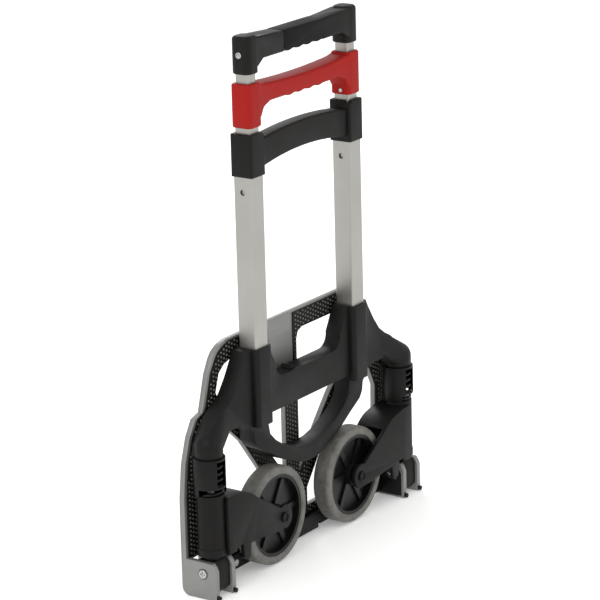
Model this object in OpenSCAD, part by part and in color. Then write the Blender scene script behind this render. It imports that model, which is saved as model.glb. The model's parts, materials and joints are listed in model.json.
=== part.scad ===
// Folding hand truck, shown folded and standing upright on its toe plate ears.
// +Z is up, the load side (toe plate) faces -Y, the operator and the wheels are at +Y.
// The operator's left hand side is +X. Z = 0 is the ground, X = 0 the plane of symmetry.

/* [Overall] */
// Width over the outer ears of the toe plate
ear_span = 488; // [480:1:600]
// Height of the toe plate while it is folded up
plate_h = 318; // [280:1:390]
// Distance between the centre lines of the two telescopic columns
tube_spacing = 225; // [205:1:270]

/* [Telescopic columns] */
// Width of the outer tube, along X
outer_tube_w = 27; // [25:0.5:33]
// Depth of the outer tube, along Y
outer_tube_d = 29; // [27:0.5:34]
// Length of the outer tube
outer_tube_len = 373; // [320:1:450]
// Wall of the outer tube
outer_wall = 1.3; // [1.1:0.1:2]
// Wall of the plastic guides between the outer and the middle tube
guide_wall = 1.2; // [0.8:0.1:2]
// Wall of the middle tube
middle_wall = 1.3; // [1:0.1:1.8]
// Wall of the inner tube
inner_wall = 1.4; // [1:0.1:1.8]
// Travel of each of the two telescopic stages
stage_travel = 180; // [140:1:200]
// Diameter of the holes that the snap buttons lock into
lock_hole_d = 8; // [6:0.5:9]

/* [Crosspieces and handle] */
// Height of the collars of the black lower crosspiece
lower_collar_h = 56; // [45:1:70]
// Wall of those collars
lower_collar_wall = 2.2; // [1.8:0.1:4]
// Height of the sleeves of the red middle crosspiece
middle_sleeve_h = 57; // [45:1:70]
// Wall of the sleeves of the middle crosspiece
sleeve_wall = 3.7; // [2.5:0.1:5]
// Wall of the handle's ends around the inner tubes
handle_wall = 4.5; // [3:0.1:6]
// Height of the ends of the top handle
handle_end_h = 49; // [44:0.5:60]
// Gap between the lower and the middle crosspiece when folded
lower_gap = 7.5; // [4:0.5:15]
// Gap between the middle crosspiece and the handle when folded
upper_gap = 12; // [6:0.5:20]
// Width of one finger scallop under the handles
finger_pitch = 22; // [20:0.5:25]

/* [Frame] */
// Thickness of the legs, web and brace, along Y
frame_t = 24; // [18:1:28]
// Wall of the tube sockets
socket_wall = 4; // [3:0.5:6]
// Height of the bottom of the tube sockets above the ground
socket_z = 200; // [190:1:215]
// Height of the tube sockets
socket_h = 105; // [90:1:120]

/* [Toe plate] */
// Depth of the toe plate without its pad, along Y
plate_t = 7.5; // [6:0.5:10]
// Thickness of the textured pad on the toe plate
pad_t = 1.5; // [1:0.1:2.5]
// Thickness of each ear
ear_t = 7.5; // [5:0.5:9]
// Height of the toe plate's pivot above the ground
pivot_z = 34; // [33:0.5:36]
// Diameter of the toe plate's pivot bolts
pivot_d = 6; // [5:0.5:8]

/* [Forks and wheels] */
// Width of the knuckle that sits between a pair of ears
knuckle_w = 27; // [24:0.5:30]
// Diameter of the upright steel hinge posts
post_d = 12; // [10:0.5:14]
// Radius of the fork's barrel around the post
barrel_r = 18.5; // [17:0.5:20]
// Radius of the spring sleeve on top of the barrel
sleeve_r = 21; // [20:0.25:22]
// Distance from the hinge post to the wheel's axle
arm_len = 130.5; // [124:0.5:134]
// Thickness of each cheek of a fork
cheek_t = 5; // [4:0.5:6]
// Diameter of the wheel over its tyre
wheel_d = 134; // [120:1:140]
// Width of the tyre
wheel_w = 26; // [22:1:28]
// Radial thickness of the tyre
tyre_t = 11.5; // [10:0.5:16]
// Diameter of the axle bolts
axle_d = 8; // [7:0.5:10]
// Turns of the torsion spring in each fork
spring_turns = 6; // [5:1:7]
// Number of spokes in a wheel
spoke_n = 6; // [5:1:8]

/* [Hidden] */

// Clearances: running fits of round bores, and sliding or facing gaps
run_fit = 0.05;
slide_gap = 0.5;
guide_gap = 0.3;
face_gap = 0.5;

// Columns
column_x = tube_spacing / 2;
middle_tube_w = outer_tube_w - 2 * (outer_wall + guide_wall + guide_gap);
middle_tube_d = outer_tube_d - 2 * (outer_wall + guide_wall + guide_gap);
inner_tube_w = middle_tube_w - 2 * (middle_wall + slide_gap);
inner_tube_d = middle_tube_d - 2 * (middle_wall + slide_gap);
outer_corner = 3.2;
middle_corner = 2.4;
inner_corner = 2;
socket_floor = 7;
outer_z = socket_z + socket_floor;
outer_top = outer_z + outer_tube_len;
lip_h = 8;
lower_top = outer_top + lip_h;
lower_z = lower_top - lower_collar_h;
middle_z0 = lower_top + lower_gap;
middle_z1 = middle_z0 + middle_sleeve_h;
middle_top = middle_z1 - lip_h;
glide_h = 6;
middle_bottom = outer_z + glide_h;
handle_z0 = middle_z1 + upper_gap;
handle_z1 = handle_z0 + handle_end_h;
inner_top = handle_z1 - 14;
glide_plug_h = 10;
lower_lock_z = lower_z - 20;
upper_lock_z = outer_top - 20;
inner_bottom = lower_lock_z - stage_travel + 16;

// Frame
frame_y0 = -16;
frame_y1 = frame_y0 + frame_t;
socket_w = outer_tube_w + 2 * socket_wall;
socket_d = outer_tube_d + 2 * socket_wall - 1;
socket_in = column_x - socket_w / 2;
socket_out = column_x + socket_w / 2;
socket_top = socket_z + socket_h;
web_z0 = socket_z + 8;
web_z1 = web_z0 + 44;

// Toe plate hinge, post and fork
ear_out = ear_span / 2;
ear_in = ear_out - ear_t;
ear2_out = ear_in - knuckle_w - 2 * face_gap;
ear2_in = ear2_out - ear_t;
post_x = ear_in - face_gap - knuckle_w / 2;
post_y = 4;
pivot_y = 4;
ear_back = 20.5;
ear_top_r = 16;
plate_y0 = pivot_y - (pivot_z - 1) - 1;
plate_y1 = plate_y0 + plate_t;
pad_y1 = plate_y1 + pad_t;
knuckle_z0 = 5;
knuckle_z1 = pivot_z + ear_top_r + 4;
washer_t = 1.6;
barrel_z0 = knuckle_z1 + washer_t + 0.2;
shoulder_z = socket_z - 12;
barrel_z1 = shoulder_z - 0.6;
roof_z = barrel_z0 + 78;
spring_z0 = barrel_z0 + 82;
cap_t = 3;
spring_z1 = barrel_z1 - cap_t;
slot_z = spring_z0 + 13;
post_z0 = pivot_z + pivot_d / 2 + 4;
post_z1 = shoulder_z + 24;
fork_half = 23.5;
axle_x = post_x - arm_len;
axle_z = wheel_d / 2 + 0.5;
axle_half = fork_half;
boss_half = wheel_w / 2 + 0.9;
hub_r = wheel_d / 2 - tyre_t;
hub_half = wheel_w / 2 - 2;
bush_wall = 2;
plate_top_half = ear_out - 94;

red = "#b3231c";
black = "#2b2b2c";
silver = "#c9cac8";
grey = "#9c9d9c";
zinc = "#d5d7d8";

// ---------- helpers ----------

// Points on a circular arc about c
function arc(c, r, a0, a1, n = 8) =
    [for (i = [0:n]) c + r * [cos(a0 + (a1 - a0) * i / n), sin(a0 + (a1 - a0) * i / n)]];

// The same outline mirrored in X and run backwards, so that it closes a right-hand half
function mirrored(pts) = [for (i = [len(pts) - 1:-1:0]) [-pts[i][0], pts[i][1]]];

// Rectangle with true round corners
module rounded_rect(w, d, r) {
    square([w - 2 * r, d], center = true);
    square([w, d - 2 * r], center = true);
    for (sx = [-1, 1], sy = [-1, 1])
        translate([sx * (w / 2 - r), sy * (d / 2 - r)]) circle(r = r, $fn = 32);
}

// Upright prism of rounded_rect from z0 to z1 at x
module column(x, w, d, r, z0, z1) {
    translate([x, 0, z0]) linear_extrude(z1 - z0) rounded_rect(w, d, r);
}

// Extrudes an outline given in X and Z from y0 to y1
module across_y(y0, y1) {
    translate([0, y1, 0]) rotate([90, 0, 0]) linear_extrude(y1 - y0) children();
}

// Extrudes an outline given in Y and Z from x0 to x1
module across_x(x0, x1) {
    translate([x0, 0, 0]) rotate([90, 0, 90]) linear_extrude(x1 - x0) children();
}

// Round bar along X from x0 to x1
module bar_x(x0, x1, y, z, d) {
    translate([x0, y, z]) rotate([0, 90, 0]) cylinder(d = d, h = x1 - x0, $fn = 48);
}

// Round bar along Y from y0 to y1
module bar_y(x, y0, y1, z, d) {
    translate([x, y1, z]) rotate([90, 0, 0]) cylinder(d = d, h = y1 - y0, $fn = 64);
}

// Draws its child at +X for s = 1 and mirrored at -X for s = -1
module on_side(s) {
    if (s > 0) children();
    else mirror([1, 0, 0]) children();
}

// Draws its child on both sides
module both_sides() {
    on_side(1) children();
    on_side(-1) children();
}

// ---------- frame ----------

// Outer edge of a leg, from the socket's top to the shoulder over the post
function leg_x(u) = socket_out + 9 + u * (post_x + 11 - socket_out - 9);
leg_outline = [
    [socket_out, socket_top], [leg_x(0), socket_top - 1], [leg_x(0.06), socket_top - 12],
    [leg_x(0.2), socket_top - 33], [leg_x(0.34), socket_top - 50], [leg_x(0.48), socket_top - 60],
    [leg_x(0.62), socket_top - 67], [leg_x(0.76), socket_top - 77], [leg_x(0.88), socket_top - 90],
    [leg_x(0.96), socket_top - 104], [leg_x(1), shoulder_z]];

// Lower edge of the brace, from the middle outwards
brace_low = [
    [0, socket_z - 83], [16, socket_z - 82], [31, socket_z - 78], [48, socket_z - 70],
    [socket_in - 27, socket_z - 62], [socket_in + 2, socket_z - 44], [socket_in + 25, socket_z - 31],
    [socket_out - 4, socket_z - 22], [socket_out - 2, socket_z - 10], [socket_out + 10, socket_z + 6],
    [socket_out + 26, socket_z + 10], [post_x - 24, socket_z + 10], [post_x - 15, socket_z + 4],
    [post_x - 15, shoulder_z]];

// Upper edge of the brace: the lower window
window_low = concat(
    [[0, web_z0], [socket_in - 4, web_z0], [socket_in + 1, socket_z - 3]],
    [[socket_in - 3, socket_z - 20], [socket_in - 15, socket_z - 32], [socket_in - 32, socket_z - 43],
     [34, socket_z - 55], [17, socket_z - 59], [0, socket_z - 60]]);

// Upper window between the sockets, above the web
window_high = concat(
    [[0, socket_top + 1], [socket_in - 0.5, socket_top + 1], [socket_in - 6, socket_top - 8],
     [socket_in - 13, socket_top - 22]],
    arc([socket_in - 37, web_z1 + 18], 18, 8, -90, 6),
    [[0, web_z1]]);

// Elbow that leads a flat leg into the round boss over the post
module shoulder() {
    translate([post_x, post_y, shoulder_z]) cylinder(r = barrel_r, h = 13, $fn = 64);
    difference() {
        hull() {
            translate([post_x, post_y, shoulder_z + 13]) sphere(r = barrel_r, $fn = 48);
            bar_y(post_x - 36, frame_y0 + 0.5, frame_y1 - 0.5, shoulder_z + 38, 30);
        }
        translate([post_x, post_y, shoulder_z - 2 * barrel_r])
            cylinder(r = 2 * barrel_r, h = 2 * barrel_r, $fn = 64);
    }
}

module main_frame() {
    color(black) difference() {
        union() {
            difference() {
                across_y(frame_y0, frame_y1)
                    polygon(concat([[0, socket_top]], leg_outline,
                        [for (i = [len(brace_low) - 1:-1:0]) brace_low[i]], mirrored(
                        concat([[0, socket_top]], leg_outline,
                        [for (i = [len(brace_low) - 1:-1:1]) brace_low[i]]))));
                across_y(frame_y0 - 1, frame_y1 + 1)
                    polygon(concat(window_low, mirrored(window_low)));
                across_y(frame_y0 - 1, frame_y1 + 1)
                    polygon(concat(window_high, mirrored(window_high)));
            }
            both_sides() {
                column(column_x, socket_w, socket_d, 7, socket_z, socket_top);
                shoulder();
            }
        }
        both_sides() {
            column(column_x, outer_tube_w, outer_tube_d, outer_corner, outer_z, socket_top + 1);
            translate([post_x, post_y, shoulder_z - 1]) cylinder(d = post_d, h = post_z1 - shoulder_z + 1,
                $fn = 48);
        }
        bar_y(catch_x, catch_y0, catch_y1, web_z1, catch_d);
    }
}

// Round catch let into the top of the web, which holds the toe plate up by its gusset
catch_x = 31;
catch_y0 = -13;
catch_y1 = 3;
catch_d = 9;
module plate_catch() {
    color(black) bar_y(catch_x, catch_y0, catch_y1, web_z1, catch_d);
}

// ---------- fixed lower part of the columns ----------

module outer_tube() {
    color(silver) difference() {
        column(column_x, outer_tube_w, outer_tube_d, outer_corner, outer_z, outer_top);
        column(column_x, outer_tube_w - 2 * outer_wall, outer_tube_d - 2 * outer_wall,
            outer_corner - outer_wall, outer_z - 1, outer_top + 1);
        bar_x(column_x - outer_tube_w, column_x + outer_tube_w, 0, lower_lock_z, lock_hole_d);
    }
}

// Bowed bar between two columns: rise is how much its middle stands above its ends
function bow(x, half, rise) = rise * (1 - pow(x / half, 2));
function bowed_bar(half, z0, z1, rise0, rise1) = concat(
    [for (i = [-8:8]) [half * i / 8, z1 + bow(half * i / 8, half, rise1)]],
    [for (i = [8:-1:-8]) [half * i / 8, z0 + bow(half * i / 8, half, rise0)]]);

lower_bar_half = 11;
module lower_crosspiece() {
    collar_w = outer_tube_w + 2 * lower_collar_wall;
    collar_d = outer_tube_d + 2 * lower_collar_wall;
    color(black) difference() {
        union() {
            across_y(-lower_bar_half, lower_bar_half)
                polygon(bowed_bar(column_x, lower_z + 4, lower_top - 13, 13, 9));
            both_sides() column(column_x, collar_w, collar_d, 3.5, lower_z, lower_top);
        }
        both_sides() {
            column(column_x, outer_tube_w, outer_tube_d, outer_corner, lower_z - 1, outer_top);
            column(column_x, middle_tube_w + 2 * slide_gap, middle_tube_d + 2 * slide_gap,
                middle_corner + slide_gap, outer_top - 1, lower_top + 1);
            translate([column_x - outer_tube_w / 2 - 2.2, middle_tube_d / 2 - 4, lower_top - 3])
                cube([5, 10, 4]);
        }
    }
}

// Plastic guide pressed into the top of an outer tube
module tube_guide() {
    guide_h = 40;
    color(black) difference() {
        column(column_x, outer_tube_w - 2 * outer_wall, outer_tube_d - 2 * outer_wall,
            outer_corner - outer_wall, outer_top - guide_h, outer_top);
        column(column_x, middle_tube_w + 2 * guide_gap, middle_tube_d + 2 * guide_gap,
            middle_corner + guide_gap, outer_top - guide_h - 1, outer_top + 1);
    }
}

// ---------- middle stage ----------

module middle_tube() {
    color(silver) difference() {
        column(column_x, middle_tube_w, middle_tube_d, middle_corner, middle_bottom, middle_top);
        column(column_x, middle_tube_w - 2 * middle_wall, middle_tube_d - 2 * middle_wall,
            middle_corner - middle_wall, middle_bottom - 1, middle_top + 1);
        bar_x(column_x - outer_tube_w, column_x + outer_tube_w, 0, upper_lock_z, lock_hole_d);
        bar_x(column_x, column_x + outer_tube_w, 0, lower_lock_z - stage_travel, lock_hole_d);
    }
}

// Underside of a hand grip from +half to -half: a row of finger scallops about the middle
function scallops(z, half) =
    [for (i = [40:-1:-40]) let (x = half * i / 40)
        [x, z - 1.6 * (abs(x) > 2 * finger_pitch ? 0 : 1) * (1 - cos(360 * x / finger_pitch)) / 2]];

bar_d = middle_tube_d + 2 * sleeve_wall - 0.8;
pin_z = middle_z0 + 6;
pin_y = 2;
pin_d = 5;
module middle_crosspiece() {
    sleeve_w = middle_tube_w + 2 * sleeve_wall;
    sleeve_d = middle_tube_d + 2 * sleeve_wall;
    color(red) difference() {
        union() {
            across_y(-bar_d / 2, bar_d / 2) polygon(concat(
                [for (i = [-8:8]) [column_x * i / 8, middle_z1 - 2 - bow(column_x * i / 8, column_x, 5)]],
                [[column_x, middle_z0 + 8],
                 [column_x - sleeve_w / 2 - 1, middle_z0 + 14],
                [column_x - sleeve_w / 2 - 6, middle_z0 + 22]],
                scallops(middle_z0 + 28, column_x - sleeve_w / 2 - 20),
                [[-column_x + sleeve_w / 2 + 6, middle_z0 + 22],
                 [-column_x + sleeve_w / 2 + 1, middle_z0 + 14], [-column_x, middle_z0 + 8]]));
            both_sides() column(column_x, sleeve_w, sleeve_d, 7, middle_z0, middle_z1);
        }
        both_sides() {
            column(column_x, middle_tube_w, middle_tube_d, middle_corner, middle_z0 - 1, middle_top);
            column(column_x, inner_tube_w + 2 * slide_gap, inner_tube_d + 2 * slide_gap,
                inner_corner + slide_gap, middle_top - 1, middle_z1 + 1);
            bar_x(0, column_x - middle_tube_w / 2 + 0.5, pin_y, pin_z, pin_d);
        }
    }
}

// Drive pins that lock the crosspiece onto its tubes, in the inner face of each sleeve
module middle_pins() {
    color(zinc) both_sides() bar_x(column_x - middle_tube_w / 2 - sleeve_wall - 0.8,
        column_x - middle_tube_w / 2, pin_y, pin_z, pin_d);
}

// Foot of a tube: a flange that guides it in the tube around it, and a plug pressed into it
module glide(flange_w, flange_d, plug_w, plug_d, corner, z) {
    column(column_x, flange_w, flange_d, corner + 0.6, z - glide_h, z);
    column(column_x, plug_w, plug_d, corner, z, z + glide_plug_h);
}

module middle_glides() {
    color(black) both_sides() glide(outer_tube_w - 2 * (outer_wall + slide_gap),
        outer_tube_d - 2 * (outer_wall + slide_gap), middle_tube_w - 2 * middle_wall,
        middle_tube_d - 2 * middle_wall, middle_corner - middle_wall, middle_bottom);
}

// ---------- top stage ----------

module inner_tube() {
    color(silver) difference() {
        column(column_x, inner_tube_w, inner_tube_d, inner_corner, inner_bottom, inner_top);
        column(column_x, inner_tube_w - 2 * inner_wall, inner_tube_d - 2 * inner_wall,
            inner_corner - inner_wall, inner_bottom - 1, inner_top + 1);
        bar_x(column_x, column_x + outer_tube_w, 0, upper_lock_z - stage_travel, lock_hole_d);
    }
}

handle_w = inner_tube_w + 2 * handle_wall;
handle_d = inner_tube_d + 2 * handle_wall;
grip_half = 2 * finger_pitch + 1;
bar_z0 = handle_z0 + 16;
bar_z1 = handle_z1 - 5;
core_inset = 3;

module top_handle() {
    color(black) difference() {
        union() {
            across_y(-handle_d / 2 + 0.4, handle_d / 2 - 0.4) polygon([
                [-column_x, handle_z1 - 2], [-column_x + 26, handle_z1 - 3], [-grip_half - 12, bar_z1 + 0.5],
                [-grip_half, bar_z1], [grip_half, bar_z1], [grip_half + 12, bar_z1 + 0.5],
                [column_x - 26, handle_z1 - 3], [column_x, handle_z1 - 2], [column_x, handle_z0 + 6],
                [column_x - handle_w / 2 - 2, handle_z0 + 11], [column_x - handle_w / 2 - 10, bar_z0],
                [-column_x + handle_w / 2 + 10, bar_z0], [-column_x + handle_w / 2 + 2, handle_z0 + 11],
                [-column_x, handle_z0 + 6]]);
            both_sides() column(column_x, handle_w, handle_d, 9.5, handle_z0, handle_z1);
        }
        both_sides() {
            column(column_x, inner_tube_w, inner_tube_d, inner_corner, handle_z0 - 1, inner_top);
            bar_x(column_x + inner_tube_w / 2 - 0.5, column_x + handle_w, 0, handle_screw_z, 5);
        }
        translate([-grip_half, -handle_d, bar_z0 - 1]) difference() {
            cube([2 * grip_half, 2 * handle_d, bar_z1 - bar_z0 + 2]);
            translate([-1, core_inset + handle_d / 2, core_inset + 1])
                cube([2 * grip_half + 2, handle_d - 2 * core_inset, bar_z1 - bar_z0 - 2 * core_inset]);
        }
    }
}

// Soft sleeve around the narrow core of the handle bar, with finger scallops below
module handle_grip() {
    color("#262627") difference() {
        across_y(-handle_d / 2, handle_d / 2) polygon(concat(
            [[-grip_half, bar_z1 + 0.4], [grip_half, bar_z1 + 0.4]],
            scallops(bar_z0 + 1, grip_half)));
        translate([-grip_half - 1, -handle_d / 2 + core_inset, bar_z0 + core_inset])
            cube([2 * grip_half + 2, handle_d - 2 * core_inset, bar_z1 - bar_z0 - 2 * core_inset]);
    }
}

handle_screw_z = handle_z0 + 25;
module handle_screws() {
    color(zinc) both_sides() {
        bar_x(column_x + inner_tube_w / 2, column_x + handle_w / 2, 0, handle_screw_z, 5);
        bar_x(column_x + handle_w / 2, column_x + handle_w / 2 + 1.4, 0, handle_screw_z, 8.5);
    }
}

module inner_glides() {
    color(black) both_sides() glide(inner_tube_w + slide_gap, inner_tube_d + slide_gap,
        inner_tube_w - 2 * inner_wall, inner_tube_d - 2 * inner_wall, inner_corner - inner_wall,
        inner_bottom);
}

// ---------- snap buttons ----------

// Spring button in a tube of width w and wall t; its head stops against a wall at x_stop
leaf_len = 18;
module snap_button(z, w, t, x_stop) {
    back = column_x - w / 2 + t + 3;
    flange_x = column_x + w / 2 - t - 1.2;
    color(zinc) {
        bar_x(flange_x, column_x + x_stop, 0, z, lock_hole_d - 0.8);
        bar_x(flange_x - 1, flange_x, 0, z, lock_hole_d + 1);
        translate([flange_x - 2.2, -3.5, z - leaf_len]) cube([1.2, 7, leaf_len + 4]);
        across_y(-3.5, 3.5) polygon([[flange_x - 2.2, z - leaf_len], [flange_x - 1, z - leaf_len],
            [back + 1.2, z + 4], [back, z + 4]]);
    }
}

module snap_button_lower() {
    snap_button(lower_lock_z - stage_travel, middle_tube_w, middle_wall,
        outer_tube_w / 2 - outer_wall - 0.35);
}

module snap_button_upper() {
    snap_button(upper_lock_z - stage_travel, inner_tube_w, inner_wall,
        middle_tube_w / 2 - middle_wall - 0.35);
}

// ---------- toe plate hinge ----------

module hinge_post() {
    color(zinc) translate([post_x, post_y, post_z0]) cylinder(d = post_d, h = post_z1 - post_z0, $fn = 48);
}

module knuckle() {
    color(black) difference() {
        union() {
            across_x(post_x - knuckle_w / 2, post_x + knuckle_w / 2) polygon([
                [pivot_y - 17, knuckle_z0 + 12], [pivot_y - 6, knuckle_z0], [pivot_y + 10, knuckle_z0],
                [pivot_y + 17, knuckle_z0 + 7], [pivot_y + 17, knuckle_z1 - 12],
                [pivot_y + 12, knuckle_z1 - 4], [pivot_y - 12, knuckle_z1 - 4],
                [pivot_y - 17, knuckle_z1 - 12]]);
            translate([post_x, post_y, knuckle_z1 - 8]) cylinder(r = post_d / 2 + 5, h = 8, $fn = 48);
        }
        bar_x(post_x - knuckle_w, post_x + knuckle_w, pivot_y, pivot_z, pivot_d + 2 * run_fit);
        translate([post_x, post_y, post_z0]) cylinder(d = post_d, h = knuckle_z1, $fn = 48);
    }
}

module thrust_washers() {
    color(zinc) both_sides() translate([post_x, post_y, knuckle_z1]) difference() {
        cylinder(r = post_d / 2 + 5, h = washer_t, $fn = 48);
        translate([0, 0, -1]) cylinder(d = post_d, h = washer_t + 2, $fn = 48);
    }
}

// ---------- fork ----------

// Side outline of a fork, from the barrel inwards to the round nose about the axle
fork_outline = concat(
    [[post_x - 6, roof_z], [post_x - 26, roof_z - 1], [post_x - 40, roof_z - 4],
     [post_x - 52, roof_z - 7], [post_x - 63, roof_z - 13], [post_x - 72, roof_z - 20]],
    arc([axle_x, axle_z], 17, 62, 250, 14),
    [[axle_x + 28, axle_z - 15], [post_x - 72, barrel_z0 + 1], [post_x - 54, barrel_z0 + 1],
     [post_x - 52, pivot_z + 5], [post_x - 46, pivot_z + 2], [post_x - 39, pivot_z + 7],
     [post_x - 37, barrel_z0 + 5], [post_x - 25, barrel_z0 + 5], [post_x - 22, barrel_z0],
     [post_x - 6, barrel_z0]]);

// Roof between the cheeks: the part of the outline that stays clear of the tyre
module fork_roof() {
    roof_r = wheel_d / 2 + 4;
    difference() {
        across_y(post_y - fork_half + cheek_t, post_y + fork_half - cheek_t) polygon([
            [post_x - 8, roof_z], [post_x - 26, roof_z - 1], [post_x - 40, roof_z - 4],
            [post_x - 52, roof_z - 7], [post_x - 63, roof_z - 13], [post_x - 72, roof_z - 20],
            [post_x - 80, roof_z - 36], [post_x - 8, roof_z - 36]]);
        bar_y(axle_x, post_y - fork_half, post_y + fork_half, axle_z, 2 * roof_r);
        translate([axle_x, post_y - fork_half, 0])
            cube([post_x - 22 - axle_x, 2 * fork_half, roof_z - 18]);
    }
}

// Openings of the spring sleeve: a slot down its rear and a window around its foot
module sleeve_openings() {
    translate([post_x - 9, post_y, slot_z]) cube([18, 2 * sleeve_r, spring_z1 - slot_z]);
    translate([post_x - 14, post_y - 3, spring_z0])
        cube([2 * sleeve_r, 2 * sleeve_r, slot_z - 3 - spring_z0]);
}

module fork() {
    color(black) difference() {
        union() {
            translate([post_x, post_y, barrel_z0])
                cylinder(r = barrel_r, h = spring_z0 - barrel_z0, $fn = 64);
            translate([post_x, post_y, barrel_z0]) cylinder(r = barrel_r + 0.8, h = 10, $fn = 64);
            difference() {
                translate([post_x, post_y, spring_z0])
                    cylinder(r = sleeve_r, h = barrel_z1 - spring_z0, $fn = 64);
                sleeve_openings();
            }
            for (y0 = [post_y - fork_half, post_y + fork_half - cheek_t])
                across_y(y0, y0 + cheek_t) polygon(fork_outline);
            across_y(post_y - fork_half + cheek_t, post_y + fork_half - cheek_t) polygon([
                [post_x - 8, barrel_z0], [post_x - 8, roof_z], [post_x - 20, roof_z - 1],
                [post_x - 20, barrel_z0]]);
            fork_roof();
            for (s = [-1, 1])
                bar_y(axle_x, post_y + (s > 0 ? boss_half + face_gap : -fork_half + 1),
                    post_y + (s > 0 ? fork_half - 1 : -boss_half - face_gap), axle_z, 18);
        }
        translate([post_x, post_y, barrel_z0 - 1])
            cylinder(d = post_d + 2 * run_fit, h = barrel_z1 - barrel_z0 + 2, $fn = 48);
        translate([post_x, post_y, spring_z0]) cylinder(r = coil_r + wire_t / 2 + 0.5,
            h = spring_z1 - spring_z0, $fn = 64);
        bar_y(axle_x, post_y - fork_half - 1, post_y + fork_half + 1, axle_z, axle_d);
    }
}

// Torsion spring around the post, wound from square wire, ends ground flat
coil_r = 16.3;
wire_t = 4.2;
coil_h = spring_z1 - spring_z0;
coil_half_turn = 180 * wire_t / (coil_h / spring_turns);
module fork_spring() {
    color("#1d1d1e") translate([post_x, post_y, spring_z0])
        linear_extrude(coil_h, twist = -360 * spring_turns, slices = 20 * spring_turns)
            polygon(concat(
                arc([0, 0], coil_r + wire_t / 2, -coil_half_turn, coil_half_turn, 10),
                arc([0, 0], coil_r - wire_t / 2, coil_half_turn, -coil_half_turn, 10)));
}

module axle() {
    color(zinc) bar_y(axle_x, post_y - axle_half, post_y + axle_half, axle_z, axle_d);
}

// Push-on caps on the two ends of an axle: a domed one at the rear and a flat one in front
cap_rear = 2.5;
cap_front = 0.8;
module axle_caps() {
    color(black) {
        bar_y(axle_x, post_y + fork_half, post_y + fork_half + cap_rear, axle_z, 14);
        bar_y(axle_x, post_y - fork_half - cap_front, post_y - fork_half, axle_z, 14);
    }
}

// ---------- wheel ----------

module about_axle() {
    translate([axle_x, post_y, axle_z]) rotate([90, 0, 0]) children();
}

module tyre() {
    r = wheel_d / 2;
    half = wheel_w / 2;
    shoulder = 5;
    color(grey) about_axle() rotate_extrude($fn = 96) polygon(concat(
        [[hub_r, -half + 1.5], [hub_r + 1.5, -half], [r - shoulder, -half]],
        arc([r - shoulder, -half + shoulder], shoulder, -90, 0, 5),
        arc([r - shoulder, half - shoulder], shoulder, 0, 90, 5),
        [[hub_r + 1.5, half], [hub_r, half - 1.5]]));
}

module hub() {
    rim_t = 4.5;
    boss_r = 15;
    web_t = 3;
    color("#1e1e1f") about_axle() difference() {
        union() {
            difference() {
                translate([0, 0, -hub_half]) cylinder(r = hub_r, h = 2 * hub_half, $fn = 96);
                translate([0, 0, -hub_half - 1]) cylinder(r = hub_r - rim_t, h = 2 * hub_half + 2, $fn = 96);
            }
            translate([0, 0, -boss_half + 0.6]) cylinder(r = boss_r, h = 2 * boss_half - 1.2, $fn = 64);
            translate([0, 0, -web_t / 2]) cylinder(r = hub_r - rim_t + 1, h = web_t, $fn = 96);
            for (i = [0:spoke_n - 1]) rotate([0, 0, i * 360 / spoke_n])
                translate([boss_r - 3, -4, -hub_half + 6]) cube([hub_r - rim_t - boss_r + 5, 8,
                    2 * hub_half - 12]);
        }
        translate([0, 0, -boss_half - 1])
            cylinder(r = axle_d / 2 + run_fit + bush_wall, h = 2 * boss_half + 2, $fn = 48);
    }
}

module wheel_bush() {
    color("#d8d4c8") about_axle() difference() {
        translate([0, 0, -boss_half]) cylinder(r = axle_d / 2 + run_fit + bush_wall, h = 2 * boss_half,
            $fn = 48);
        translate([0, 0, -boss_half - 1]) cylinder(d = axle_d + 2 * run_fit, h = 2 * boss_half + 2,
            $fn = 48);
    }
}

// ---------- toe plate ----------

rib_half = 14;
web_edge_z = pivot_z + 12;
function plate_z(u) = u * plate_h;

// Right-hand half of the outline while folded up, from the top rim down to the ears
plate_edge = concat(
    [[0, plate_h], [plate_top_half - 8, plate_h]],
    [[plate_top_half + 6, plate_h - 4], [plate_top_half + 17, plate_h - 10],
     [plate_top_half + 24, plate_h - 18], [plate_top_half + 34, plate_z(0.885)],
     [plate_top_half + 48, plate_z(0.737)], [plate_top_half + 64, plate_z(0.722)],
     [ear_out - 17, plate_z(0.657)], [ear_out - 6, plate_z(0.553)], [ear_out - 0.5, plate_z(0.414)],
     [ear_out, plate_z(0.276)], [ear_out, web_edge_z]]);

// Windows on one side, above and below the diagonal rib
window_up = [
    [rib_half, plate_h - 41], [rib_half + 4, plate_h - 31], [rib_half + 14, plate_h - 27],
    [plate_top_half - 14, plate_h - 27], [plate_top_half, plate_h - 31],
    [plate_top_half + 12, plate_h - 40], [plate_top_half + 20, plate_z(0.80)],
    [plate_top_half + 16, plate_z(0.765)], [plate_top_half - 22, plate_z(0.676)],
    [92, plate_z(0.569)], [64, plate_z(0.469)], [30, plate_z(0.34)], [rib_half, plate_z(0.275)]];
gusset = [[0, plate_h - 26], [rib_half + 42, plate_h - 26], [rib_half + 28, plate_h - 52],
    [rib_half - 1, plate_h - 98]];
window_down = [
    [30, 36], [ear2_in - 12, 36], [ear2_in - 4, 60], [ear2_in + 1, plate_z(0.35)],
    [ear2_in + 2, plate_z(0.5)], [ear2_in - 12, plate_z(0.59)], [ear2_in - 52, plate_z(0.632)],
    [114, plate_z(0.535)], [78, plate_z(0.39)], [45, plate_z(0.255)], [30, plate_z(0.195)]];

// The windows of both sides, with the gusset beside the rib on the left side
module plate_windows() {
    difference() {
        for (s = [-1, 1]) scale([s, 1]) {
            polygon(window_up);
            polygon(window_down);
        }
        polygon(gusset);
    }
}

module plate_outline() {
    difference() {
        polygon(concat(plate_edge, [[ear2_in, web_edge_z], [ear2_in - 10, 2], [0, 2]],
            mirrored(concat(plate_edge, [[ear2_in, web_edge_z], [ear2_in - 10, 2]]))));
        plate_windows();
    }
}

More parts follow.
